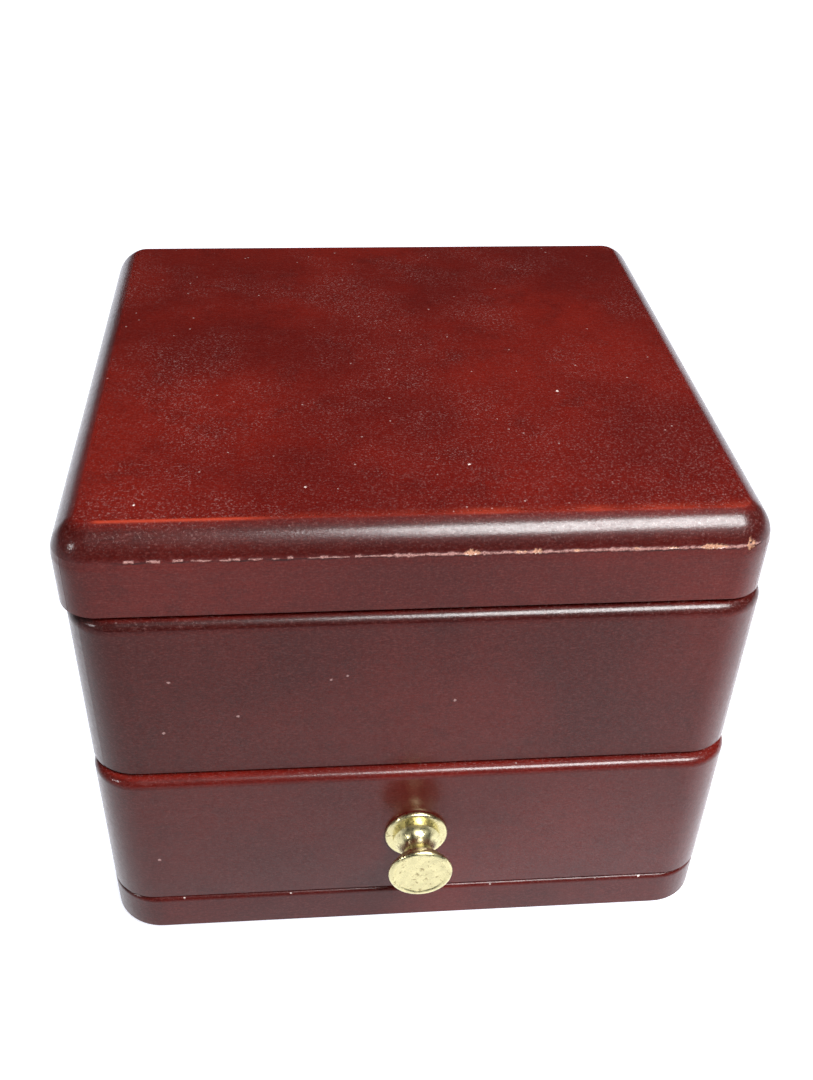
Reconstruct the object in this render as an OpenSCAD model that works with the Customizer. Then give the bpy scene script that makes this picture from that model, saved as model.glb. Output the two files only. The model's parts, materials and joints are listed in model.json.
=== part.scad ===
// Ring box: a lacquered wooden case with a hinged moulded lid, a velvet
// ring compartment and one shallow drawer with a turned brass knob.
// X is to the right, Y to the back, Z up, all in millimetres.
// The origin is the centre of the underside.

/* [Case] */
// Width of the case and of the base slab
case_w = 100; // [96:1:112]
// Depth of the case
case_d = 99.6; // [96:1:112]
// Thickness of the case boards
wall_t = 9; // [8:0.5:10]
// Radius of the upright corners of the case
corner_r = 7.5; // [6:0.5:9]
// Radius of the rounded top edge of the case
case_round = 2; // [1:0.1:2.2]
// Height of the underside of the upper case above the table
case_low_z = 36.1; // [34:0.1:40]
// Height of the top of the case above the table
case_top_z = 65.4; // [64.5:0.1:72]
// Small flat along the lower edges
ease = 0.2; // [0.1:0.05:0.6]

/* [Base] */
// Thickness of the felt under the base
felt_t = 0.8; // [0.5:0.1:1.5]
// Height of the top of the base slab above the table
base_top_z = 8; // [6:0.05:9]
// How far the base slab stands ahead of the case
base_proud = 1.5; // [1:0.1:2.5]
// Radius of the rounded top edge of the base slab
base_round = 0.8; // [0.4:0.1:1.2]
// Radius of the upright corners of the base slab
base_r = 8.2; // [6:0.1:10]
// Distance of the felt from the outline of the case
felt_inset = 4; // [2:0.5:8]

/* [Lid] */
// Width of the lid
lid_w = 99.7; // [96:0.1:112]
// Depth of the lid
lid_d = 99.5; // [96:0.1:112]
// Radius of the upright corners of the lid
lid_r = 5.8; // [5:0.1:8]
// Dark gap between case and lid
lid_gap = 0.6; // [0.2:0.1:0.8]
// Height of the lid's frame, up to the joint with its top board
lid_side_h = 9.25; // [8.6:0.05:11]
// Thickness of the lid's top board
mould_h = 4.15; // [3.6:0.05:4.4]
// Radius of the moulding on the top board
mould_r = 6.4; // [6.2:0.1:8]
// Height of the frame's bevelled edge just under the joint
edge_h = 1.25; // [0.8:0.05:1.6]
// How far that bevel leans in
edge_in = 0.175; // [0.1:0.025:0.3]
// How far to the right the lid hangs
lid_shift_x = -0.7; // [-0.9:0.1:0.9]
// How far to the back the lid hangs
lid_shift_y = 0.7; // [0:0.1:0.9]
// Thickness of the satin pad in the lid
lid_pad_t = 5; // [3:0.5:6]

/* [Drawer] */
// How far the drawer front stands ahead of the case
drawer_proud = 1.4; // [0.4:0.1:2]
// Thickness of the drawer front
drawer_front_t = 9; // [8:0.5:10]
// Radius of the rounded top edge of the drawer front
drawer_round = 1.5; // [0.8:0.1:2]
// Gap above the drawer front
drawer_gap = 0.5; // [0.3:0.1:0.8]
// Thickness of the drawer's sides and back
drawer_wall = 4; // [3:0.5:5]
// Height of the drawer's sides
drawer_side_h = 25; // [20:0.5:27]

/* [Knob] */
// Radius of the knob's head
knob_r = 5; // [4:0.1:6]
// Distance from the drawer front to the end of the knob
knob_len = 8.6; // [7:0.1:12]
// Height of the knob's centre above the table
knob_z = 21.8; // [18.5:0.1:24.5]

/* [Hinges] */
// Length of each hinge
hinge_len = 16; // [14:1:20]
// Distance of each hinge's middle from the centre of the box
hinge_x = 27; // [20:1:30]
// Distance of the hinge pin ahead of the back face
pin_inset = 2; // [1.8:0.1:2.4]
// Half angle of the bevelled groove along the back
bevel_deg = 50; // [46:1:55]

/* [Ring compartment] */
// Number of velvet rolls
rolls = 6; // [4:1:7]
// Thickness of the covered boards that line the compartment
lining_t = 1.2; // [1:0.1:2]
// Height of the velvet rolls
roll_h = 12.6; // [10:0.2:14]

/* [Hidden] */
$fn = 96;
hole_w = case_w - 2 * wall_t;
hole_d = case_d - 2 * wall_t;
lid_low_z = case_top_z + lid_gap;
lid_joint_z = lid_low_z + lid_side_h;
recess_w = lid_w - 2 * wall_t - 0.2;
recess_dp = lid_d - 2 * wall_t;
lean_deg = 16;
drawer_back_of_front = -case_d / 2 - drawer_proud + drawer_front_t;
drawer_low_z = base_top_z + 0.3;
drawer_front_top = case_low_z - drawer_gap;
divider_t = 3;
floor_z = case_low_z + divider_t;
drawer_w = hole_w - 0.8;
drawer_end_y = hole_d / 2 - 0.6;
bottom_t = 2.4;
pad_t = 1.8;
pin_y = case_d / 2 - pin_inset;
pin_z = case_top_z + lid_gap / 2;
pin_r = 0.6;
knuckle_r = 1.25;
leaf_t = 0.9;
leaf_off = 0.1;
leaf_reach = 5.8;
knuckle_len = (hinge_len - 0.4) / 3;
screw_y = pin_y - 3.65;
screw_x = 4.8;
roll_pitch = (hole_d - 2 * lining_t - 0.6) / rolls;
roll_r = roll_pitch / 2 - 0.1;
roll_w = hole_w - 2 * lining_t - 0.8;

wood = [0.36, 0.14, 0.12];
raw = [0.62, 0.45, 0.30];
gold = [0.80, 0.68, 0.38];
velvet = [0.88, 0.84, 0.76];
satin = [0.93, 0.90, 0.84];
dark = [0.13, 0.11, 0.10];

// ---------- edge sections, drawn from the middle (x = 0) out to half ----------

// Upright side, rounded at the top by r, with a small flat at the bottom
module round_section(half, h, r, c) {
  polygon([[0, 0], [half - c, 0], [half, c], [half, h - r], [0, h - r]]);
  translate([0, h - r])
    square([half - r, r]);
  translate([half - r, h - r])
    intersection() {
      circle(r = r);
      square([r, r]);
    }
}

// Top board of the lid: one arc that starts lean_deg off upright and ends on the flat top
module lid_top_section(half) {
  cx = half - edge_in - mould_r * cos(lean_deg);
  cy = -mould_r * sin(lean_deg);
  square([max(cx + 1, 0.5), mould_h]);
  intersection() {
    translate([cx, cy])
      circle(r = mould_r);
    square([half, mould_h]);
  }
}

// Frame of the lid: upright, then a slight bevel up to the joint
module lid_frame_section(half) {
  polygon([[0, 0], [half - ease, 0], [half, ease], [half, lid_side_h - edge_h],
           [half - edge_in, lid_side_h], [0, lid_side_h]]);
}

module section(kind, half) {
  if (kind == "lid_top") lid_top_section(half);
  if (kind == "lid_frame") lid_frame_section(half);
  if (kind == "case") round_section(half, case_top_z - base_top_z, case_round, 0.01);
  if (kind == "upper") round_section(half, case_top_z - case_low_z, case_round, ease);
  if (kind == "base") round_section(half, base_top_z - felt_t, base_round, 0.3);
  if (kind == "front") round_section(half, drawer_front_top - drawer_low_z, drawer_round, 0.3);
}

module full_section(kind, half) {
  section(kind, half);
  mirror([1, 0])
    section(kind, half);
}

// Slab whose edge section follows a rectangle with round corners
module slab(kind, w, d, r) {
  for (sx = [-1, 1])
    for (sy = [-1, 1])
      translate([sx * (w / 2 - r), sy * (d / 2 - r), 0])
        rotate([0, 0, 90 + 90 * sx])
          rotate_extrude()
            section(kind, r);
  translate([-(w / 2 - r), 0, 0])
    rotate([90, 0, 90])
      linear_extrude(height = w - 2 * r)
        full_section(kind, d / 2);
  translate([0, d / 2 - r, 0])
    rotate([90, 0, 0])
      linear_extrude(height = d - 2 * r)
        full_section(kind, w / 2);
}

module rounded_plate(w, d, h, r) {
  linear_extrude(height = h)
    union() {
      square([w - 2 * r, d], center = true);
      square([w, d - 2 * r], center = true);
      for (sx = [-1, 1])
        for (sy = [-1, 1])
          translate([sx * (w / 2 - r), sy * (d / 2 - r)])
            circle(r = r);
    }
}

// ---------- base ----------

module base_slab() {
  color(wood)
    translate([0, -base_proud / 2, felt_t])
      slab("base", case_w, case_d + base_proud, base_r);
}

module base_felt() {
  color(dark)
    rounded_plate(case_w - 2 * felt_inset, case_d - 2 * felt_inset, felt_t, corner_r - 2);
}

// ---------- case ----------

// Wedge that one board of a mitred frame fills between its two mitres
module mitre_wedge(side, w2, d2) {
  far = 1;
  near = wall_t + 3;
  if (side == "left")
    linear_extrude(height = 100)
      polygon([[-w2 - far, -d2 - far], [-w2 + near, -d2 + near],
               [-w2 + near, d2 - near], [-w2 - far, d2 + far]]);
  if (side == "back")
    linear_extrude(height = 100)
      polygon([[-w2 - far, d2 + far], [-w2 + near, d2 - near],
               [w2 - near, d2 - near], [w2 + far, d2 + far]]);
}

module hole_through() {
  translate([-hole_w / 2, -hole_d / 2, 0])
    cube([hole_w, hole_d, 100]);
}

// Room behind the drawer front, open to the front
module front_room() {
  translate([-case_w, -case_d, 0])
    cube([2 * case_w, case_d + drawer_back_of_front + 0.2, case_low_z]);
}

// Bevel that the case needs along the back for the lid to swing
module case_bevel() {
  translate([-case_w, pin_y, pin_z])
    rotate([-bevel_deg, 0, 0])
      translate([0, 0, -0.15])
        cube([2 * case_w, 20, 20]);
}

module case_left() {
  color(wood)
    difference() {
      intersection() {
        translate([0, 0, base_top_z])
          slab("case", case_w, case_d, corner_r);
        mitre_wedge("left", case_w / 2, case_d / 2);
      }
      hole_through();
      front_room();
      case_bevel();
    }
}

module case_right() {
  mirror([1, 0, 0])
    case_left();
}

module case_back() {
  color(wood)
    difference() {
      intersection() {
        translate([0, 0, base_top_z])
          slab("case", case_w, case_d, corner_r);
        mitre_wedge("back", case_w / 2, case_d / 2);
      }
      hole_through();
      case_bevel();
      both_hinges()
        lower_mortise();
      lower_screw_holes();
    }
}

module case_front() {
  color(wood)
    difference() {
      intersection() {
        translate([0, 0, case_low_z])
          slab("upper", case_w, case_d, corner_r);
        mirror([0, 1, 0])
          mitre_wedge("back", case_w / 2, case_d / 2);
      }
      hole_through();
    }
}

module case_divider() {
  color(raw)
    translate([-hole_w / 2, -hole_d / 2, case_low_z])
      cube([hole_w, hole_d, divider_t]);
}

// ---------- covered boards inside the ring compartment ----------

module lining_left() {
  color(velvet)
    translate([-hole_w / 2, -hole_d / 2, floor_z])
      cube([lining_t, hole_d, case_top_z - floor_z - 2.6]);
}

module lining_right() {
  mirror([1, 0, 0])
    lining_left();
}

module lining_front() {
  color(velvet)
    translate([-hole_w / 2 + lining_t, -hole_d / 2, floor_z])
      cube([hole_w - 2 * lining_t, lining_t, case_top_z - floor_z - 2.6]);
}

module lining_back() {
  mirror([0, 1, 0])
    lining_front();
}

// One velvet roll, flat where it stands on the divider; n counts from the front
module ring_roll(n) {
  y = (n - (rolls + 1) / 2) * roll_pitch;
  color(velvet)
    intersection() {
      translate([-roll_w / 2, y, floor_z + roll_h - roll_r])
        rotate([0, 90, 0])
          cylinder(r = roll_r, h = roll_w);
      translate([-roll_w / 2 - 1, y - roll_r - 1, floor_z])
        cube([roll_w + 2, 2 * roll_r + 2, 40]);
    }
}

module ring_roll_1() {
  ring_roll(1);
}

module ring_roll_2() {
  ring_roll(2);
}

module ring_roll_3() {
  ring_roll(3);
}

module ring_roll_4() {
  ring_roll(4);
}

module ring_roll_5() {
  if (rolls >= 5) ring_roll(5);
}

module ring_roll_6() {
  if (rolls >= 6) ring_roll(6);
}

// ---------- hinges, drawn about their own pin at the middle of their length ----------

module both_hinges() {
  for (s = [-1, 1])
    translate([s * hinge_x, pin_y, pin_z])
      children();
}

// Cylinder along X, centred
module along_x(r, len) {
  translate([-len / 2, 0, 0])
    rotate([0, 90, 0])
      cylinder(r = r, h = len);
}

// Countersunk hole for a screw that is driven downwards from z = 0
module screw_seat(grow) {
  translate([0, 0, -1.0])
    cylinder(r1 = 0.75 + grow, r2 = 1.4 + grow, h = 1.0);
  translate([0, 0, -5])
    cylinder(r = 0.75 + grow, h = 4.5);
}

module hinge_screw() {
  difference() {
    union() {
      translate([0, 0, -0.8])
        cylinder(r1 = 0.75, r2 = 1.35, h = 0.8);
      translate([0, 0, -4])
        cylinder(r = 0.75, h = 3.3);
      translate([0, 0, -5])
        cylinder(r1 = 0.1, r2 = 0.75, h = 1.01);
    }
    translate([-2, -0.15, -0.35])
      cube([4, 0.3, 1]);
  }
}

// Two outer knuckles and the leaf that lies in the case
module lower_leaf() {
  color(gold)
    difference() {
      union() {
        translate([-hinge_len / 2, -leaf_reach, -leaf_off - leaf_t])
          cube([hinge_len, leaf_reach - knuckle_r - 0.25, leaf_t]);
        for (s = [-1, 1])
          translate([s * (knuckle_len + 0.2), 0, 0]) {
            along_x(knuckle_r, knuckle_len);
            translate([-knuckle_len / 2, -leaf_reach, -leaf_off - leaf_t])
              cube([knuckle_len, leaf_reach, leaf_t]);
          }
      }
      along_x(pin_r + 0.01, hinge_len + 2);
      for (s = [-1, 1])
        translate([s * screw_x, screw_y - pin_y, -leaf_off])
          screw_seat(0.05);
    }
}

// One middle knuckle and the leaf that lies in the lid
module upper_leaf() {
  color(gold)
    difference() {
      union() {
        translate([-hinge_len / 2, -leaf_reach, leaf_off])
          cube([hinge_len, leaf_reach - knuckle_r - 0.25, leaf_t]);
        along_x(knuckle_r, knuckle_len);
        translate([-knuckle_len / 2, -leaf_reach, leaf_off])
          cube([knuckle_len, leaf_reach, leaf_t]);
      }
      along_x(pin_r + 0.05, hinge_len + 2);
      for (s = [-1, 1])
        translate([s * screw_x, screw_y - pin_y, leaf_off])
          mirror([0, 0, 1])
            screw_seat(0.05);
    }
}

module hinge_pin() {
  color(gold)
    along_x(pin_r, hinge_len + 0.6);
}

// Pocket that takes a leaf and leaves room round the knuckles
module lower_mortise() {
  translate([-hinge_len / 2 - 0.1, -leaf_reach - 0.1, -leaf_off - leaf_t])
    cube([hinge_len + 0.2, leaf_reach + 0.1, 5]);
  along_x(knuckle_r + 0.3, hinge_len + 1.2);
}

module upper_mortise() {
  mirror([0, 0, 1])
    lower_mortise();
}

module lower_screw_holes() {
  both_hinges()
    for (s = [-1, 1])
      translate([s * screw_x, screw_y - pin_y, -leaf_off])
        screw_seat(0.03);
}

module upper_screw_holes() {
  both_hinges()
    for (s = [-1, 1])
      translate([s * screw_x, screw_y - pin_y, leaf_off])
        mirror([0, 0, 1])
          screw_seat(0.03);
}

module left_hinge_lower_leaf() {
  translate([-hinge_x, pin_y, pin_z])
    lower_leaf();
}

module right_hinge_lower_leaf() {
  translate([hinge_x, pin_y, pin_z])
    lower_leaf();
}

module left_hinge_upper_leaf() {
  translate([-hinge_x, pin_y, pin_z])
    upper_leaf();
}

module right_hinge_upper_leaf() {
  translate([hinge_x, pin_y, pin_z])
    upper_leaf();
}

module left_hinge_pin() {
  translate([-hinge_x, pin_y, pin_z])
    hinge_pin();
}

module right_hinge_pin() {
  translate([hinge_x, pin_y, pin_z])
    hinge_pin();
}

module lower_hinge_screws() {
  color(gold)
    both_hinges()
      for (s = [-1, 1])
        translate([s * screw_x, screw_y - pin_y, -leaf_off - 0.05])
          hinge_screw();
}

module upper_hinge_screws() {
  color(gold)
    both_hinges()
      for (s = [-1, 1])
        translate([s * screw_x, screw_y - pin_y, leaf_off + 0.05])
          mirror([0, 0, 1])
            hinge_screw();
}

// ---------- lid ----------

module lid_bevel() {
  translate([-case_w, pin_y, pin_z])
    rotate([bevel_deg, 0, 0])
      translate([0, 0, -19.85])
        cube([2 * case_w, 20, 20]);
}

module lid_top() {
  color(wood)
    translate([lid_shift_x, lid_shift_y, lid_joint_z])
      slab("lid_top", lid_w, lid_d, lid_r);
}

// The frame's recess, which the satin pad fills from above
module lid_recess() {
  translate([lid_shift_x - recess_w / 2, lid_shift_y - recess_dp / 2, lid_low_z - 1])
    cube([recess_w, recess_dp, lid_side_h + 2]);
}

module lid_board(side) {
  difference() {
    translate([lid_shift_x, lid_shift_y, 0])
      intersection() {
        translate([0, 0, lid_low_z])
          slab("lid_frame", lid_w, lid_d, lid_r);
        if (side == "left")
          mitre_wedge("left", lid_w / 2, lid_d / 2);
        if (side == "right")
          mirror([1, 0, 0])
            mitre_wedge("left", lid_w / 2, lid_d / 2);
        if (side == "back")
          mitre_wedge("back", lid_w / 2, lid_d / 2);
        if (side == "front")
          mirror([0, 1, 0])
            mitre_wedge("back", lid_w / 2, lid_d / 2);
      }
    lid_recess();
    lid_bevel();
  }
}

module lid_left() {
  color(wood)
    lid_board("left");
}

module lid_right() {
  color(wood)
    lid_board("right");
}

module lid_front() {
  color(wood)
    lid_board("front");
}

module lid_back() {
  color(wood)
    difference() {
      lid_board("back");
      both_hinges()
        upper_mortise();
      upper_screw_holes();
    }
}

module lid_pad() {
  color(satin)
    translate([lid_shift_x, lid_shift_y, lid_joint_z - lid_pad_t])
      rounded_plate(recess_w - 0.6, recess_dp - 0.6, lid_pad_t, 1.5);
}

// ---------- drawer ----------

module drawer_front() {
  color(wood)
    difference() {
      intersection() {
        translate([0, -drawer_proud, drawer_low_z])
          slab("front", case_w - 0.3, case_d, corner_r);
        translate([-case_w, -case_d / 2 - drawer_proud - 1, 0])
          cube([2 * case_w, drawer_front_t + 1, 60]);
      }
      translate([0, 0, knob_z])
        rotate([90, 0, 0])
          cylinder(r = 1.55, h = case_d);
    }
}

module drawer_left() {
  color(raw)
    translate([-drawer_w / 2, drawer_back_of_front, drawer_low_z])
      cube([drawer_wall, drawer_end_y - drawer_back_of_front, drawer_side_h]);
}

module drawer_right() {
  mirror([1, 0, 0])
    drawer_left();
}

module drawer_back() {
  color(raw)
    translate([-drawer_w / 2 + drawer_wall, drawer_end_y - drawer_wall, drawer_low_z])
      cube([drawer_w - 2 * drawer_wall, drawer_wall, drawer_side_h]);
}

module drawer_bottom() {
  color(raw)
    translate([-drawer_w / 2 + drawer_wall, drawer_back_of_front, drawer_low_z + 0.4])
      cube([drawer_w - 2 * drawer_wall, drawer_end_y - drawer_wall - drawer_back_of_front, bottom_t]);
}

module drawer_pad() {
  y0 = drawer_back_of_front + 0.3;
  y1 = drawer_end_y - drawer_wall - 0.3;
  color(velvet)
    translate([0, (y0 + y1) / 2, drawer_low_z + 0.4 + bottom_t])
      rounded_plate(drawer_w - 2 * drawer_wall - 0.6, y1 - y0, pad_t, 1.2);
}

// Turned knob, drawn with its axis up and its flange on z = 0
module knob_profile() {
  difference() {
    union() {
      square([knob_r - 0.45, 0.9]);
      intersection() {
        translate([knob_r - 0.5, 0.4])
          circle(r = 0.5);
        square([knob_r, 0.9]);
      }
      square([3.75, knob_len - 1.2]);
      translate([0, knob_len - 1.9])
        polygon([[0, 0], [3.2, 0], [knob_r - 0.35, 0.9], [0, 0.9]]);
      translate([0, knob_len - 1.1])
        square([knob_r - 0.25, 0.8]);
      translate([knob_r - 0.55, knob_len - 0.55])
        circle(r = 0.55);
      translate([0, knob_len - 0.55])
        square([knob_r - 0.55, 0.35]);
    }
    translate([4.75, (knob_len - 1.1) / 2 + 0.25])
      circle(r = 2.45);
    translate([-1, knob_len - 0.2])
      square([knob_r - 0.2, 1]);
  }
}

module drawer_knob() {
  color(gold)
    translate([0, -case_d / 2 - drawer_proud, knob_z])
      rotate([90, 0, 0])
        difference() {
          rotate_extrude()
            knob_profile();
          translate([0, 0, -1])
            cylinder(r = 1.5, h = 6);
        }
}

module knob_screw() {
  color(gold)
    translate([0, drawer_back_of_front, knob_z])
      rotate([90, 0, 0]) {
        translate([0, 0, 0])
          cylinder(r = 1.48, h = drawer_front_t + 4.2);
        difference() {
          translate([0, 0, -1.7])
            cylinder(r = 2.8, h = 1.7);
          translate([-3, -0.35, -2])
            cube([6, 0.7, 1]);
        }
      }
}

// ---------- everything in its place ----------

base_slab();
base_felt();
case_left();
case_right();
case_back();
case_front();
case_divider();
lining_left();
lining_right();
lining_front();
lining_back();
ring_roll_1();
ring_roll_2();
ring_roll_3();
ring_roll_4();
ring_roll_5();
ring_roll_6();
left_hinge_lower_leaf();
right_hinge_lower_leaf();
left_hinge_pin();
right_hinge_pin();
lower_hinge_screws();
lid_top();
lid_left();
lid_right();
lid_front();
lid_back();
lid_pad();
left_hinge_upper_leaf();
right_hinge_upper_leaf();
upper_hinge_screws();
drawer_front();
drawer_left();
drawer_right();
drawer_back();
drawer_bottom();
drawer_pad();
drawer_knob();
knob_screw();
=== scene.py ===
import json
import math

import bmesh
import bpy
import numpy as np
from mathutils import Matrix, Vector, noise


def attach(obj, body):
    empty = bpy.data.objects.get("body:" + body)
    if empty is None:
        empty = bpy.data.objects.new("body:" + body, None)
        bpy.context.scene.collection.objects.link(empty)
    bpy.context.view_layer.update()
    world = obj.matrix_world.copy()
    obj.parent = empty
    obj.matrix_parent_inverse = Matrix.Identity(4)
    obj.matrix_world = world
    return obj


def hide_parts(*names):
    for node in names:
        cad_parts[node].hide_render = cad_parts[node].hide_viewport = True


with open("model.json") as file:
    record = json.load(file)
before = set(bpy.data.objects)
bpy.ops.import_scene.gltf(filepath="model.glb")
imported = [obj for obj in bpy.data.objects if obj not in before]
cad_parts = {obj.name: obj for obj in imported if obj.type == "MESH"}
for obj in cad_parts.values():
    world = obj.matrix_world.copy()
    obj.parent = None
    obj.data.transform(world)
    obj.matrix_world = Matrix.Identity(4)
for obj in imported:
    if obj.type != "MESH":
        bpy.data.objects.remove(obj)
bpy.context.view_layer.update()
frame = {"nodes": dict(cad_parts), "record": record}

# Ring box: a lacquered wooden case with a moulded lid, a velvet ring compartment and one drawer
# with a turned brass knob. Metres, X right, Y back, Z up, origin under the middle of the box.

MM = 0.001
NODES = frame["nodes"]


# ---------------------------------------------------------------- camera, light and floor

def add_camera():
    yaw, pitch, roll = math.radians(5.679), math.radians(38.288), math.radians(1.8125)
    forward = Vector((math.sin(yaw) * math.cos(pitch), math.cos(yaw) * math.cos(pitch),
                      -math.sin(pitch)))
    side = forward.cross(Vector((0, 0, 1))).normalized()
    up = side.cross(forward)
    right = math.cos(roll) * side + math.sin(roll) * up
    top = -math.sin(roll) * side + math.cos(roll) * up
    data = bpy.data.cameras.new("camera")
    data.sensor_fit = "AUTO"
    data.sensor_width = 36
    data.lens = 39.75
    data.shift_x = 0.00374
    data.shift_y = 0.05227
    data.clip_start = 0.01
    data.clip_end = 60
    camera = bpy.data.objects.new("camera", data)
    bpy.context.scene.collection.objects.link(camera)
    matrix = Matrix((right, top, -forward)).transposed().to_4x4()
    matrix.translation = Vector((-0.015866, -0.176974, 0.169878))
    camera.matrix_world = matrix
    bpy.context.scene.camera = camera


def add_softbox(name, place, target, size, radiance):
    light = bpy.data.lights.new(name, "AREA")
    light.shape = "RECTANGLE"
    light.size, light.size_y = size
    light.energy = radiance * math.pi * size[0] * size[1]
    obj = bpy.data.objects.new(name, light)
    bpy.context.scene.collection.objects.link(obj)
    obj.location = place
    obj.rotation_euler = (Vector(target) - Vector(place)).to_track_quat("-Z", "Y").to_euler()
    return obj


def add_lights():
    add_softbox("key_softbox", (0.157, -0.30, 0.488), (0, 0, 0.06), (0.27, 0.20), 35)
    add_softbox("left_strip", (-0.52, -0.31, 0.30), (0, 0, 0.06), (0.04, 0.09), 70)
    add_softbox("overhead_fill", (0.1, 0.1, 1.3), (0, 0, 0), (0.8, 0.8), 0.25)
    world = bpy.data.worlds.new("studio")
    world.use_nodes = True
    background = world.node_tree.nodes["Background"]
    background.inputs["Color"].default_value = (1.0, 0.985, 0.97, 1)
    background.inputs["Strength"].default_value = 0.03
    bpy.context.scene.world = world
    bpy.context.scene.view_settings.view_transform = "Standard"


def add_floor():
    """Pale paper that glows, so it stays evenly white; it glows less just ahead of the box, where the
    key light falls, and over a wider stretch to the left: a painted shadow that the box fronts reflect
    as a darker floor.
    """
    size = 15.0
    mesh = bpy.data.meshes.new("floor")
    mesh.from_pydata([(-size, -size, 0), (size, -size, 0), (size, size, 0), (-size, size, 0)],
                     [], [(0, 1, 2, 3)])
    floor = bpy.data.objects.new("floor", mesh)
    bpy.context.scene.collection.objects.link(floor)
    s = Shader("floor_paper")
    s.set(Base_Color=(0.40, 0.40, 0.40, 1), Roughness=0.9, Emission_Color=(0.94, 0.97, 1.06, 1))
    parts = s.nodes.new("ShaderNodeSeparateXYZ")
    s.links.new(s.coordinates, parts.inputs[0])
    # Painted shadow: the glow fades out just ahead of the box, reaching closer to the box on the left.
    ahead = s.math("ADD", parts.outputs["Y"], s.math("MULTIPLY", parts.outputs["X"], 0.25))
    glow = s.math("ADD", s.remap(ahead, -0.16, -0.075, 0.0, 0.62),
                  s.remap(ahead, -0.072, -0.045, 0.0, 0.48))
    far = s.remap(ahead, -0.35, -0.8, 0.25, 1.0)
    s.link(s.math("MAXIMUM", glow, far), "Emission Strength")
    mesh.materials.append(s.material)


# ---------------------------------------------------------------- small node helpers

class Shader:
    """One procedural material: a Principled shader and the nodes that feed it, in millimetres."""

    def __init__(self, name):
        self.material = bpy.data.materials.new(name)
        self.material.use_nodes = True
        self.nodes = self.material.node_tree.nodes
        self.links = self.material.node_tree.links
        self.shader = self.nodes["Principled BSDF"]
        self.coordinates = self.nodes.new("ShaderNodeTexCoord").outputs["Object"]

    def set(self, **values):
        for key, value in values.items():
            self.shader.inputs[key.replace("_", " ")].default_value = value

    def place(self, scale, rotation=(0, 0, 0)):
        """Object coordinates turned, then scaled; scale is in features per millimetre."""
        node = self.nodes.new("ShaderNodeMapping")
        node.inputs["Rotation"].default_value = rotation
        node.inputs["Scale"].default_value = [s * 1000 for s in scale]
        self.links.new(self.coordinates, node.inputs["Vector"])
        return node.outputs["Vector"]

    def noise(self, scale, detail=2.0, roughness=0.5, distortion=0.0, rotation=(0, 0, 0)):
        if not hasattr(scale, "__len__"):
            scale = (scale, scale, scale)
        node = self.nodes.new("ShaderNodeTexNoise")
        node.inputs["Scale"].default_value = 1.0
        node.inputs["Detail"].default_value = detail
        node.inputs["Roughness"].default_value = roughness
        node.inputs["Distortion"].default_value = distortion
        self.links.new(self.place(scale, rotation), node.inputs["Vector"])
        return node.outputs["Fac"]

    def cells(self, scale):
        node = self.nodes.new("ShaderNodeTexVoronoi")
        node.inputs["Scale"].default_value = 1.0
        self.links.new(self.place((scale, scale, scale)), node.inputs["Vector"])
        return node.outputs["Distance"]

    def remap(self, value, low, high, to_low=0.0, to_high=1.0):
        node = self.nodes.new("ShaderNodeMapRange")
        node.inputs["From Min"].default_value = low
        node.inputs["From Max"].default_value = high
        node.inputs["To Min"].default_value = to_low
        node.inputs["To Max"].default_value = to_high
        self.links.new(value, node.inputs["Value"])
        return node.outputs["Result"]

    def math(self, operation, a, b):
        node = self.nodes.new("ShaderNodeMath")
        node.operation = operation
        for socket, value in zip(node.inputs, (a, b)):
            if isinstance(value, (int, float)):
                socket.default_value = value
            else:
                self.links.new(value, socket)
        return node.outputs["Value"]

    def mix(self, factor, a, b):
        node = self.nodes.new("ShaderNodeMix")
        node.data_type = "RGBA"
        for name, value in (("Factor", factor), ("A", a), ("B", b)):
            socket = [s for s in node.inputs if s.name == name and s.enabled][0]
            if isinstance(value, (int, float)):
                socket.default_value = value
            elif isinstance(value, tuple):
                socket.default_value = (*value, 1)
            else:
                self.links.new(value, socket)
        return [s for s in node.outputs if s.enabled][0]

    def normal_z(self):
        geometry = self.nodes.new("ShaderNodeNewGeometry")
        parts = self.nodes.new("ShaderNodeSeparateXYZ")
        self.links.new(geometry.outputs["Normal"], parts.inputs[0])
        return parts.outputs["Z"]

    def attribute(self, name):
        node = self.nodes.new("ShaderNodeAttribute")
        node.attribute_name = name
        return node.outputs["Fac"]

    def link(self, value, socket):
        self.links.new(value, self.shader.inputs[socket])

    def bump(self, *layers):
        """Layers are (height, size in metres); each is added to the one before."""
        last = None
        for height, size in layers:
            node = self.nodes.new("ShaderNodeBump")
            node.inputs["Strength"].default_value = 1.0
            node.inputs["Distance"].default_value = size
            self.links.new(height, node.inputs["Height"])
            if last:
                self.links.new(last, node.inputs["Normal"])
            last = node.outputs["Normal"]
        self.links.new(last, self.shader.inputs["Normal"])
        self.links.new(last, self.shader.inputs["Coat Normal"])


# ---------------------------------------------------------------- materials

def spots(s, points, radius, ragged=0.35):
    """1 inside small ragged spots round the given points, in metres; 0 elsewhere."""
    wobble = s.remap(s.noise(2.5, detail=2), 0.3, 0.7, -ragged * radius, ragged * radius)
    total = None
    for point in points:
        gap = s.nodes.new("ShaderNodeVectorMath")
        gap.operation = "DISTANCE"
        gap.inputs[1].default_value = [c * MM for c in point]
        s.links.new(s.coordinates, gap.inputs[0])
        inside = s.remap(s.math("ADD", gap.outputs["Value"], wobble), radius, radius * 0.6)
        total = inside if total is None else s.math("MAXIMUM", total, inside)
    return total


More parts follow.
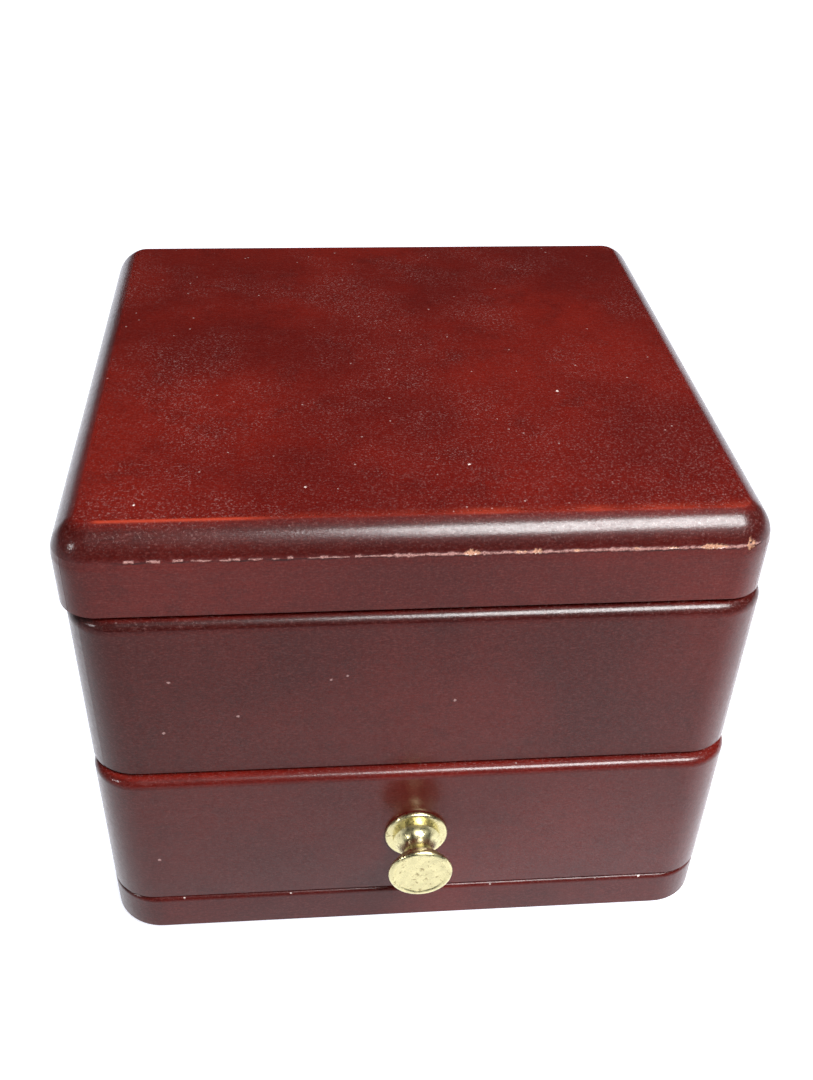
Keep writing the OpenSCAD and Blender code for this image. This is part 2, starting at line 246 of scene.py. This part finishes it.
def lacquer(name, tone, side_shade=1.0, left=1.0, edge=1.0, nicks=(), nick_radius=0.0003,
            nick_color=(0.42, 0.24, 0.21), gloss=1.0):
    """Red mahogany stain under a clear coat: a sharp reflection, with a wider hazy one below it.

    tone scales the stain. upright, left and edge darken it further as painted shade: upright what faces
    sideways, left what is at the left end and edge what is on the rounded edges and the moulding. On the
    drawer edge is above 1 and makes its rounded top edge paler instead.
    """
    s = Shader(name)
    blotch = s.noise(0.035, detail=3)
    base = s.mix(s.remap(blotch, 0.38, 0.62), (0.094, 0.0036, 0.0022), (0.160, 0.0072, 0.0034))
    smudge = s.remap(s.noise(0.16, detail=5, roughness=0.7), 0.52, 0.68, 0.0, 0.45)
    base = s.mix(smudge, base, (0.060, 0.0026, 0.0022))
    fibre = s.noise((0.35, 5.0, 5.0), detail=2)
    base = s.mix(s.remap(fibre, 0.42, 0.62, 0.0, 0.3), base, (0.066, 0.003, 0.002))
    grain = s.noise(3.4, detail=3, roughness=0.7)
    base = s.mix(s.remap(grain, 0.5, 0.7, 0.0, 0.3), base, (0.21, 0.022, 0.012))
    base = s.mix(s.remap(grain, 0.5, 0.34, 0.0, 0.4), base, (0.050, 0.002, 0.002))
    # Painted shade: the stain is darkened by which way a face turns and towards the left end of the box.
    facing = s.normal_z()
    up = s.remap(facing, 0.80, 0.97)
    x = s.nodes.new("ShaderNodeSeparateXYZ")
    s.links.new(s.coordinates, x.inputs[0])
    left_end_shade = s.remap(x.outputs["X"], -0.046, -0.012, left, 1.0)
    shaded_sides = s.math("MULTIPLY", s.remap(facing, 0.15, 0.40, tone * side_shade, tone * side_shade * edge), left_end_shade)
    shade = s.math("ADD", s.math("MULTIPLY", shaded_sides, s.math("SUBTRACT", 1.0, up)),
                   s.math("MULTIPLY", up, tone))
    base = s.mix(shade, (0.0, 0.0, 0.0), base)
    front_dust = s.math("MULTIPLY", s.remap(x.outputs["Y"], 0.02, -0.046, 0.0, 0.6),
                        s.remap(x.outputs["X"], -0.02, 0.042, 0.7, 1.6))
    dust = s.remap(s.noise(2.9, detail=3, roughness=0.75), 0.55, 0.66)
    where = s.remap(s.noise(0.045, detail=5, roughness=0.65), 0.46, 0.62, 0.03, 1.0)
    haze = s.math("MULTIPLY", dust, s.math("MAXIMUM", where, front_dust))
    film = s.math("MAXIMUM", s.remap(up, 0, 1, 0.05, 0.40), s.remap(facing, 0.3, 0.6, 0.0, 0.22))
    base = s.mix(s.math("MULTIPLY", haze, film), base, (0.34, 0.21, 0.20))
    motes = s.math("MULTIPLY", s.remap(s.cells(0.34), 0.065, 0.035), s.remap(up, 0, 1, 0.0, 0.55))
    base = s.mix(motes, base, (0.50, 0.38, 0.36))
    base = s.mix(s.remap(s.noise((1.6, 4.0, 4.0), detail=4, roughness=0.75), 0.5, 0.72, 0.0, 0.28), base,
                 (0.17, 0.050, 0.045))
    broken = s.remap(s.noise(4.5, detail=3, roughness=0.7), 0.36, 0.56, 0.25, 1.0)
    # Ridge mark: orange-red of lacquer worn thin on the ridge, and painted light in a band that widens
    # to the right.
    base = s.mix(s.attribute("ridge"), base, (0.34, 0.040, 0.018))
    base = s.mix(s.math("MULTIPLY", s.attribute("pit"), 0.9), base, (0.010, 0.001, 0.001))
    base = s.mix(s.math("MULTIPLY", s.attribute("bare"), broken), base, (0.36, 0.19, 0.17))
    base = s.mix(s.math("MULTIPLY", s.attribute("chip"), broken), base, (0.45, 0.235, 0.145))
    if nicks:
        base = s.mix(spots(s, nicks, nick_radius), base, nick_color)
    s.link(base, "Base Color")
    rough = s.remap(s.noise(1.2, detail=3), 0.3, 0.7, 0.34, 0.44)
    s.link(s.math("MAXIMUM", rough, s.math("MULTIPLY", s.attribute("bare"), 0.8)), "Roughness")
    specks = s.noise(3.0, detail=4, roughness=0.8)
    s.link(s.remap(specks, 0.38, 0.60, 0.38 * gloss, 0.82 * gloss), "Coat Weight")
    s.set(Specular_IOR_Level=0.15 * gloss, Coat_Roughness=0.10, Coat_IOR=1.38)
    s.bump((s.noise(0.12, detail=2), 0.00006), (s.noise(2.6, detail=4, roughness=0.8), 0.000017))
    return s.material


def brass(name, metal, stain, amount, roughness):
    """Turned brass, dulled by brown specks and by a cloudier film."""
    s = Shader(name)
    film = s.remap(s.noise(0.55, detail=4, roughness=0.6), 0.35, 0.65)
    specks = s.remap(s.noise(1.3, detail=4, roughness=0.7, distortion=0.5), 0.55, 0.66, 0.0, amount)
    base = s.mix(s.math("MULTIPLY", film, 0.5), metal, tuple(0.62 * c for c in metal))
    s.link(s.mix(specks, base, stain), "Base Color")
    s.link(s.remap(s.noise(1.6, detail=3), 0.3, 0.7, roughness, roughness + 0.14), "Roughness")
    s.set(Metallic=1.0)
    s.bump((s.noise(0.7, detail=2), 0.00005), (s.noise(3.0, detail=2), 0.000006))
    return s.material


def bare_wood(name):
    """Plain sawn wood with long pores, inside the drawer and under the linings."""
    s = Shader(name)
    rings = s.noise((0.02, 0.32, 0.32), detail=4, distortion=0.4)
    base = s.mix(s.remap(rings, 0.35, 0.65), (0.40, 0.23, 0.125), (0.53, 0.335, 0.195))
    pores = s.remap(s.noise((0.12, 3.4, 3.4), detail=3, roughness=0.65), 0.56, 0.66, 0.0, 0.55)
    s.link(s.mix(pores, base, (0.20, 0.10, 0.05)), "Base Color")
    s.link(s.remap(pores, 0, 0.55, 0.55, 0.75), "Roughness")
    s.set(Specular_IOR_Level=0.3)
    s.bump((pores, -0.00004), (s.noise((0.4, 6, 6), detail=2), 0.00002))
    return s.material


def velvet(name):
    """Cream velvet: short pile that lies one way in patches, paler where it turns to the light."""
    s = Shader(name)
    patches = s.remap(s.noise(0.09, detail=3, distortion=0.6), 0.35, 0.65)
    base = s.mix(patches, (0.47, 0.40, 0.30), (0.57, 0.51, 0.41))
    pile = s.noise((9.0, 9.0, 9.0), detail=2, roughness=0.7)
    s.link(s.mix(s.remap(pile, 0.3, 0.7, 0.0, 0.35), base, (0.33, 0.27, 0.20)), "Base Color")
    s.set(Roughness=0.95, Specular_IOR_Level=0.12, Sheen_Weight=0.5, Sheen_Roughness=0.35,
          Sheen_Tint=(1.0, 0.95, 0.86, 1))
    s.bump((s.noise(0.5, detail=3), 0.00012), (pile, 0.00007))
    return s.material


def satin(name):
    """Cream satin with fine close threads and slow ripples."""
    s = Shader(name)
    ripple = s.noise((0.05, 0.16, 0.16), detail=3)
    base = s.mix(s.remap(ripple, 0.3, 0.7), (0.54, 0.47, 0.36), (0.63, 0.57, 0.46))
    thread = s.noise((14.0, 1.2, 1.2), detail=1)
    s.link(s.mix(s.remap(thread, 0.35, 0.65, 0.0, 0.22), base, (0.43, 0.36, 0.27)), "Base Color")
    s.link(s.remap(thread, 0.3, 0.7, 0.30, 0.42), "Roughness")
    s.set(Specular_IOR_Level=0.5)
    s.bump((ripple, 0.0004), (thread, 0.00002))
    return s.material


def felt(name):
    """Dark brown pressed felt with loose fibres."""
    s = Shader(name)
    fibres = s.noise((3.0, 3.0, 3.0), detail=5, roughness=0.8, distortion=1.2)
    s.link(s.mix(s.remap(fibres, 0.35, 0.65), (0.010, 0.006, 0.005), (0.035, 0.022, 0.018)),
           "Base Color")
    s.set(Roughness=0.98, Specular_IOR_Level=0.1)
    s.bump((fibres, 0.0002))
    return s.material


CASE_NICKS = [(-13.1, -49.8, 54.1), (-10.8, -49.8, 54.7), (5.0, -49.8, 49.2), (-36.2, -49.8, 54.6),
              (-26.8, -49.8, 47.6), (-37.8, -49.8, 44.7)]
LID_SPECKS = [(-39.0, -41.5, 79.4), (7.5, -33.0, 79.4), (-16.0, -38.0, 79.4), (24.0, -12.0, 79.4)]
SEAM_SPECKS = [(-38.0, -51.2, 7.9), (-20.5, -51.2, 7.9), (13.0, -51.2, 7.8), (38.5, -51.2, 7.9),
               (31.0, -51.2, 7.9)]


def make_materials():
    return {
        # Per material: tone, then painted shade on side faces, at the left end and on rounded edges (the
        # drawer's 1.25 makes its rounded top edge paler), then nicks.
        "lid": lacquer("lid_lacquer", 0.89, 0.62, 0.9, 0.62, LID_SPECKS, 0.00026, (0.75, 0.62, 0.58)),
        "case": lacquer("case_lacquer", 0.60, 0.73, 0.60, 0.60, CASE_NICKS, 0.00027,
                        (0.26, 0.15, 0.14), 0.95),
        "drawer": lacquer("drawer_lacquer", 0.76, 0.68, 0.66, 1.25, [(-41.0, -51.2, 17.9)], 0.00028,
                          (0.30, 0.17, 0.16), 0.95),
        "base": lacquer("base_lacquer", 0.66, 0.76, 0.78, 1.0, SEAM_SPECKS, 0.00026,
                        (0.70, 0.60, 0.56), 0.72),
        "inner_wood": bare_wood("inner_wood"),
        "felt": felt("felt"),
        "satin": satin("satin"),
        "velvet": velvet("velvet"),
        "hinge_brass": brass("hinge_brass", (0.78, 0.60, 0.30), (0.20, 0.13, 0.06), 0.5, 0.24),
        "knob_brass": brass("knob_brass", (0.80, 0.73, 0.41), (0.26, 0.20, 0.09), 0.75, 0.22),
    }


def paint(obj, material):
    obj.data.materials.clear()
    obj.data.materials.append(material)


def paint_cad(materials):
    for row in frame["record"]["subparts"]:
        slot, part = row["material_slot"], row["node"].split("_")[0]
        paint(NODES[row["node"]], materials[part if slot == "lacquered_wood" else slot])


# ---------------------------------------------------------------- lid: worn edges and chips

# Chips in the lacquer at the joint, in mm: from, to, how far up and how far down
CHIPS = [(5.0, 7.4, 0.46, 0.22), (12.0, 13.6, 0.34, 0.2), (14.4, 15.7, 0.38, 0.2),
         (37.5, 41.5, 0.42, 0.28), (44.2, 45.6, 0.95, 0.6), (28.4, 29.2, 0.26, 0.1),
         (33.0, 34.6, 0.2, 0.1), (20.0, 21.0, 0.2, 0.14)]
CORNER_CHIP = 4  # the one with a dark heart
# Short open cracks on the left half: from, to
DASHES = [(-40.2, -38.9), (-37.2, -35.4), (-33.8, -32.4), (-26.4, -24.9), (-18.6, -17.9), (-14.2, -13.2),
          (-9.6, -8.8)]


def ragged(u, seed, scale):
    return noise.noise(Vector((u * scale, seed * 7.31, 0.5)))


def smooth_step(low, high, value):
    t = min(1.0, max(0.0, (value - low) / (high - low)))
    return t * t * (3 - 2 * t)


def wear_at(u, t):
    """Wear at u along the front edge and t above the joint, in mm: depth, bare, chip, pit."""
    depth = bare = chip = pit = 0.0
    centre = 0.10 * ragged(u, 1, 0.8) + 0.07 * ragged(u, 5, 2.7)
    half = 0.0
    if -6.5 < u < 46.5:
        half = 0.15 + 0.13 * ragged(u, 2, 1.5) + 0.13 * ragged(u, 3, 4.0)
        half *= smooth_step(-6.5, -5.0, u) * (1 - smooth_step(45.5, 46.5, u))
    elif -32 < u <= -6.5:
        half = 0.02 + 0.12 * ragged(u, 4, 0.9)
    for start, end in DASHES:
        if start < u < end:
            half = max(half, 0.13 + 0.13 * ragged(u, 6, 3.0))
            centre += 0.08
    if half > 0:
        bare = 1 - smooth_step(half * 0.6, half + 0.09, abs(t - centre))
        depth = 0.10 * bare
    if -42 < u < 47:
        under = 0.5 + ragged(u, 7, 0.5)
        pit = max(0.0, under) * (1 - smooth_step(0.05, 0.17, abs(t - centre + max(half, 0.0) + 0.10)))
    for number, (start, end, up, down) in enumerate(CHIPS):
        if start - 0.3 < u < end + 0.3:
            along = (u - start) / (end - start)
            reach = max(0.0, 1 - abs(2 * along - 1) ** 3)
            reach *= 1 + 0.7 * ragged(u, 11 + number, 2.6) + 0.6 * ragged(u, 31 + number, 6.0)
            high = (up if t > 0 else down) * reach
            inside = 1 - smooth_step(high * 0.75, high + 0.06, abs(t)) if high > 0.02 else 0.0
            chip = max(chip, inside)
            depth = max(depth, 0.20 * inside)
            if number == CORNER_CHIP:
                heart = math.hypot((along - 0.45) * 1.3, (t - 0.22) / 0.9)
                pit = max(pit, 1 - smooth_step(0.16, 0.30, heart))
                chip *= 1 - pit
    return depth, min(1.0, bare), min(1.0, chip), min(1.0, pit)


def outline(width, depth, radius, fine, coarse):
    """Points round a rectangle with round corners, anticlockwise from its back left corner.

    Each is (x, y, nx, ny, u): n points outwards and u is the way along the front, from its middle.
    """
    points = []
    half_w, half_d, flat = width / 2, depth / 2, width / 2 - radius

    def straight(start, end, normal, step):
        count = max(2, math.ceil(math.dist(start, end) / step))
        for i in range(count):
            t = i / count
            x, y = (a + (b - a) * t for a, b in zip(start, end))
            points.append((x, y, *normal, x if normal == (0, -1) else None))

    def corner(cx, cy, first, step, sign):
        arc = radius * math.pi / 2
        count = max(3, math.ceil(arc / step))
        for i in range(count):
            a = math.radians(first + 90 * i / count)
            nx, ny = math.cos(a), math.sin(a)
            along = arc * i / count
            u = {-1: -flat - arc + along, 1: flat + along}.get(sign)
            points.append((cx + radius * nx, cy + radius * ny, nx, ny, u))

    straight((-half_w, half_d - radius), (-half_w, radius - half_d), (-1, 0), coarse)
    corner(radius - half_w, radius - half_d, 180, fine, -1)
    straight((radius - half_w, -half_d), (half_w - radius, -half_d), (0, -1), fine)
    corner(half_w - radius, radius - half_d, 270, fine, 1)
    straight((half_w, radius - half_d), (half_w, half_d - radius), (1, 0), coarse)
    corner(half_w - radius, half_d - radius, 0, coarse / 2, 0)
    straight((half_w - radius, half_d), (radius - half_w, half_d), (0, 1), coarse)
    corner(radius - half_w, half_d - radius, 90, coarse / 2, 0)
    return points


def build_mesh(name, vertices, faces, marks, material):
    mesh = bpy.data.meshes.new(name)
    mesh.from_pydata([(x * MM, y * MM, z * MM) for x, y, z in vertices], [], faces)
    for mark, values in marks.items():
        layer = mesh.attributes.new(mark, "FLOAT", "POINT")
        layer.data.foreach_set("value", values)
    work = bmesh.new()
    work.from_mesh(mesh)
    bmesh.ops.remove_doubles(work, verts=work.verts, dist=1e-7)
    bmesh.ops.recalc_face_normals(work, faces=work.faces)
    for face in work.faces:
        face.smooth = True
    for edge in work.edges:
        edge.smooth = edge.calc_face_angle(0) < math.radians(38)
    work.to_mesh(mesh)
    work.free()
    mesh.materials.append(material)
    obj = bpy.data.objects.new(name, mesh)
    bpy.context.scene.collection.objects.link(obj)
    return obj


def node_box(name):
    points = np.array([v.co for v in NODES[name].data.vertices]) / MM
    return points.min(axis=0), points.max(axis=0)


# The lid's section, in mm, as in the design
LEAN = math.radians(16)
MOULD_R = 6.4
EDGE_IN = 0.175
EDGE_H = 1.25
LID_CORNER_R = 5.8
LID_WALL_X, LID_WALL_Y = 9.1, 9.0
# Made here: a small fillet where the moulding meets the flat top, and the station spacings
FILLET = 1.3
FINE_STEP, COARSE_STEP = 0.15, 1.5
WEAR_TOP, WEAR_BELOW = 1.6, 1.3


def moulding_rows(height):
    """The lid board's edge as (inset, height) rows: one arc, then a small fillet into the flat top."""
    cx = EDGE_IN + MOULD_R * math.cos(LEAN)
    cz = -MOULD_R * math.sin(LEAN)
    end = math.asin((height - cz) / MOULD_R)
    turn = math.pi / 2 - end
    back = FILLET * math.tan(turn / 2)
    last = end - back / MOULD_R
    angles, a = [], LEAN
    while a < last:
        angles.append(a)
        a += (0.11 if (a - LEAN) * MOULD_R < 1.3 else 0.33) / MOULD_R
    rows = [(cx - MOULD_R * math.cos(a), cz + MOULD_R * math.sin(a)) for a in angles + [last]]
    corner = (cx - MOULD_R * math.cos(end), height)
    for i in range(1, 5):
        t = i / 5
        p0, p2 = rows[len(angles)], (corner[0] + back, height)
        rows.append(tuple((1 - t) ** 2 * a + 2 * t * (1 - t) * b + t * t * c
                          for a, b, c in zip(p0, corner, p2)))
    rows += [(corner[0] + back + step, height) for step in (0, 0.25, 0.5, 0.8, 1.1, 1.5)]
    return rows, corner[0]


def dress_lid(materials):
    low, high = node_box("lid_top")
    centre_x, centre_y = (low[0] + high[0]) / 2, (low[1] + high[1]) / 2
    width, depth, joint = high[0] - low[0] + 2 * EDGE_IN, high[1] - low[1] + 2 * EDGE_IN, low[2]
    stations = outline(width, depth, LID_CORNER_R, FINE_STEP, COARSE_STEP)

    rows, ridge = moulding_rows(high[2] - joint)
    vertices, marks = [], {"bare": [], "chip": [], "pit": [], "ridge": []}
    for inset, height in rows:
        for x, y, nx, ny, u in stations:
            worn = (0, 0, 0, 0)
            if u is not None and height < WEAR_TOP:
                worn = wear_at(u + centre_x, height)
            # The ridge mark: a thin line at the left, lacquer worn thin on the ridge, plus a broader
            # band that grows to the right, which is painted light where the moulding turns to the key
            # light.
            edge = 0.0
            if u is not None and inset > ridge - 0.45:
                strong = smooth_step(-44, -42.5, u) * (1 - smooth_step(-26, -18, u))
                soft = 0.34 * smooth_step(-30, 0, u) * (0.8 + 0.8 * ragged(u, 21, 0.25))
                line = strong * (1 - smooth_step(0.10, 0.36, abs(inset - ridge)))
                painted_light_band = 1 - smooth_step(0.2, 1.7, inset - ridge) if inset > ridge else \
                    1 - smooth_step(0.05, 0.4, ridge - inset)
                edge = 0.8 * line + soft * painted_light_band
            back_in = inset + worn[0]
            vertices.append((centre_x + x - back_in * nx, centre_y + y - back_in * ny, joint + height))
            for mark, value in zip(("bare", "chip", "pit", "ridge"), (*worn[1:], min(1.0, edge))):
                marks[mark].append(value)
    count = len(stations)
    faces = [(r * count + k, r * count + (k + 1) % count, (r + 1) * count + (k + 1) % count,
              (r + 1) * count + k) for r in range(len(rows) - 1) for k in range(count)]
    faces.append(tuple(range((len(rows) - 1) * count, len(rows) * count)))
    faces.append(tuple(reversed(range(count))))
    top = build_mesh("lid_moulded_top", vertices, faces, marks, materials["lid"])
    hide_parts("lid_top")
    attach(top, "lid")

    # Front board between its two mitres
    low, high = node_box("lid_front")
    bottom, side = low[2], joint - low[2]
    mitre = -math.sqrt(0.5) + 1e-3
    facing_front = [k for k, p in enumerate(stations) if p[4] is not None and p[3] <= mitre]
    part = stations[facing_front[0]:facing_front[-1] + 1]
    heights = [0.2 + (side - EDGE_H - 0.2) * i / 8 for i in range(9)]
    heights += [side - EDGE_H + EDGE_H * i / 11 for i in range(1, 12)]
    section = [(0.2, 0.0)] + [(EDGE_IN * max(0.0, h - side + EDGE_H) / EDGE_H, h) for h in heights]
    inner_x, inner_y = width / 2 - LID_WALL_X, -(depth / 2 - LID_WALL_Y)
    vertices, marks = [], {"bare": [], "chip": [], "pit": [], "ridge": []}
    for x, y, nx, ny, u in part:
        for inset, height in section:
            worn = (0, 0, 0, 0)
            if height > side - WEAR_BELOW:
                worn = wear_at(u + centre_x, height - side)
            back_in = inset + worn[0]
            vertices.append((centre_x + x - back_in * nx, centre_y + y - back_in * ny, bottom + height))
            for mark, value in zip(("bare", "chip", "pit", "ridge"), (*worn[1:], 0.0)):
                marks[mark].append(value)
        for height in (side, 0.0):
            vertices.append((centre_x + max(-inner_x, min(inner_x, x)), centre_y + inner_y,
                             bottom + height))
            for values in marks.values():
                values.append(0.0)
    ring = len(section) + 2
    faces = [(k * ring + r, (k + 1) * ring + r, (k + 1) * ring + (r + 1) % ring,
              k * ring + (r + 1) % ring)
             for k in range(len(part) - 1) for r in range(ring)]
    faces += [tuple(reversed(range(ring))), tuple(range((len(part) - 1) * ring, len(part) * ring))]
    front = build_mesh("lid_front_board", vertices, faces, marks, materials["lid"])
    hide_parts("lid_front")
    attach(front, "lid")


# ---------------------------------------------------------------- soft parts

SCALE = 8.0  # the cloth solver runs on enlarged copies, because the pads are very small


def inflate(name, source, shrink, voxel, pressure, cap):
    """A soft copy of a CAD solid: shrunk, remeshed and run through the cloth solver under pressure.

    No point moves further than cap. shrink, voxel and cap are in mm.
    """
    mesh = NODES[source].data.copy()
    mesh.name = name
    obj = bpy.data.objects.new(name, mesh)
    bpy.context.scene.collection.objects.link(obj)
    points = np.array([v.co for v in mesh.vertices])
    low, high = points.min(axis=0), points.max(axis=0)
    middle, size = (low + high) / 2, high - low
    factor = (size - 2 * np.array(shrink) * MM) / size
    points = ((points - middle) * factor) * SCALE
    mesh.vertices.foreach_set("co", points.ravel())
    mesh.update()
    work = bmesh.new()
    work.from_mesh(mesh)
    bmesh.ops.remove_doubles(work, verts=work.verts, dist=1e-5)
    work.to_mesh(mesh)
    work.free()
    bpy.context.view_layer.objects.active = obj
    for other in bpy.context.selected_objects:
        other.select_set(False)
    obj.select_set(True)
    mesh.remesh_voxel_size = voxel * MM * SCALE
    mesh.remesh_voxel_adaptivity = 0
    bpy.ops.object.voxel_remesh()
    mesh = obj.data
    start = np.array([v.co for v in mesh.vertices])
    cloth = obj.modifiers.new("cloth", "CLOTH")
    cloth.settings.use_pressure = True
    cloth.settings.uniform_pressure_force = pressure
    cloth.settings.quality = 5
    cloth.settings.effector_weights.gravity = 0
    cloth.collision_settings.use_collision = False
    cloth.point_cache.frame_start = 1
    cloth.point_cache.frame_end = 20
    for number in range(1, 21):
        bpy.context.scene.frame_set(number)
    bpy.ops.object.modifier_apply(modifier="cloth")
    bpy.context.scene.frame_set(1)
    end = np.array([v.co for v in obj.data.vertices])
    move = end - start
    length = np.linalg.norm(move, axis=1, keepdims=True)
    limit = cap * MM * SCALE
    move *= np.minimum(1, limit / np.maximum(length, 1e-9))
    points = (start + move) / SCALE + middle
    return obj, points, low, high


def settle(obj, points, low, high, margin=0.0):
    """Keeps a soft piece inside the room its CAD solid takes, then smooths and subdivides it."""
    points = np.minimum(np.maximum(points, low + margin), high - margin)
    obj.data.vertices.foreach_set("co", points.ravel())
    obj.data.update()
    work = bmesh.new()
    work.from_mesh(obj.data)
    bmesh.ops.smooth_vert(work, verts=work.verts, factor=0.5, use_axis_x=True, use_axis_y=True,
                          use_axis_z=True)
    for face in work.faces:
        face.smooth = True
    work.to_mesh(obj.data)
    work.free()
    bpy.context.view_layer.objects.active = obj
    modifier = obj.modifiers.new("finer", "SUBSURF")
    modifier.levels = modifier.render_levels = 1
    bpy.ops.object.modifier_apply(modifier="finer")
    points = np.array([v.co for v in obj.data.vertices])
    return np.minimum(np.maximum(points, low), high)


def finish_soft(obj, points, material, node, body):
    obj.data.vertices.foreach_set("co", points.ravel())
    obj.data.update()
    paint(obj, material)
    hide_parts(node)
    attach(obj, body)


def wrinkle(points, direction, size, scale, seed):
    """Slow folds in cloth: moves points along a direction by smooth noise."""
    shift = np.array([noise.noise(Vector(((p[0] / MM) * scale[0] + seed, (p[1] / MM) * scale[1],
                                          (p[2] / MM) * scale[2]))) for p in points])
    return points + np.outer(shift * size * MM, direction)


def dress_rolls(materials):
    rows = sorted(n for n in NODES if n.startswith("ring_roll_"))
    model, points, low, high = inflate("roll", rows[2], (0.9, 0.7, 0.6), 1.3, 3.0, 1.4)
    points = settle(model, points, low, high)
    middle = (low + high) / 2
    relative = points - middle
    half = (high - low) / 2
    # Closed ends: the velvet is turned in and stitched, so it pulls in round a seam
    for number, name in enumerate(rows, 1):
        obj = model if number == len(rows) else model.copy()
        if obj is not model:
            obj.data = model.data.copy()
            bpy.context.scene.collection.objects.link(obj)
        obj.name = f"velvet_roll_{number}"
        node_points = np.array([v.co for v in NODES[name].data.vertices])
        n_low, n_high = node_points.min(axis=0), node_points.max(axis=0)
        own = relative + (n_low + n_high) / 2
        along = np.abs(relative[:, 0]) / half[0]
        pull = np.clip((along - 0.90) / 0.10, 0, 1) ** 2
        own[:, 1] -= relative[:, 1] * 0.14 * pull
        top = relative[:, 2] > -half[2] * 0.6
        own[:, 2] -= np.where(top, (relative[:, 2] + half[2]) * 0.10 * pull, 0)
        angle = np.arctan2(relative[:, 2], relative[:, 1])
        own[:, 2] -= np.where(top, 0.16 * MM * pull * (0.5 + 0.5 * np.sin(9 * angle + number)), 0)
        own = wrinkle(own, (0, 0, 1), 0.35, (0.10, 0.05, 0.05), 13.7 * number)
        own = wrinkle(own, (0, 1, 0), 0.25, (0.16, 0.04, 0.04), 5.1 * number)
        own = np.minimum(np.maximum(own, n_low), n_high)
        finish_soft(obj, own, materials["velvet"], name, "case")


def dress_pads(materials):
    obj, points, low, high = inflate("lid_cushion", "lid_pad", (1.0, 1.0, 1.1), 1.2, 3.0, 1.3)
    points = settle(obj, points, low, high)
    middle, half = (low + high) / 2, (high - low) / 2
    relative = (points - middle) / half
    # Full in the middle, thinner to the edge, with a seam line set in from the edge
    crown = (1 - np.abs(relative[:, 0]) ** 4) * (1 - np.abs(relative[:, 1]) ** 4)
    below = relative[:, 2] < 0
    crowned = middle[2] + relative[:, 2] * half[2] * (0.45 + 0.55 * crown)
    points[:, 2] = np.where(below, crowned, points[:, 2])
    edge = np.maximum(np.abs(relative[:, 0]), np.abs(relative[:, 1]))
    seam = np.exp(-((edge - 0.90) / 0.012) ** 2)
    points[:, 2] += np.where(below, 0.35 * MM * seam, 0)
    points = wrinkle(points, (0, 0, 1), 0.3, (0.07, 0.05, 0.05), 3.0)
    points = np.minimum(np.maximum(points, low), high)
    finish_soft(obj, points, materials["satin"], "lid_pad", "lid")

    obj, points, low, high = inflate("drawer_cushion", "drawer_pad", (0.5, 0.5, 0.3), 0.6, 1.5, 0.4)
    points = settle(obj, points, low, high)
    middle, half = (low + high) / 2, (high - low) / 2
    relative = (points - middle) / half
    crown = (1 - np.abs(relative[:, 0]) ** 8) * (1 - np.abs(relative[:, 1]) ** 8)
    above = relative[:, 2] > 0
    crowned = middle[2] + relative[:, 2] * half[2] * (0.3 + 0.7 * crown)
    points[:, 2] = np.where(above, crowned, points[:, 2])
    points = wrinkle(points, (0, 0, 1), 0.22, (0.06, 0.07, 0.05), 8.0)
    points = np.minimum(np.maximum(points, low), high)
    finish_soft(obj, points, materials["velvet"], "drawer_pad", "drawer")


def dress_felt(materials):
    mesh = NODES["base_felt"].data.copy()
    mesh.name = "felt_sheet"
    obj = bpy.data.objects.new("felt_sheet", mesh)
    bpy.context.scene.collection.objects.link(obj)
    paint(obj, materials["felt"])
    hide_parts("base_felt")
    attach(obj, "case")


def dress_soft_parts(materials):
    dress_rolls(materials)
    dress_pads(materials)
    dress_felt(materials)


add_camera()
add_lights()
add_floor()
materials = make_materials()
paint_cad(materials)
dress_lid(materials)
dress_soft_parts(materials)
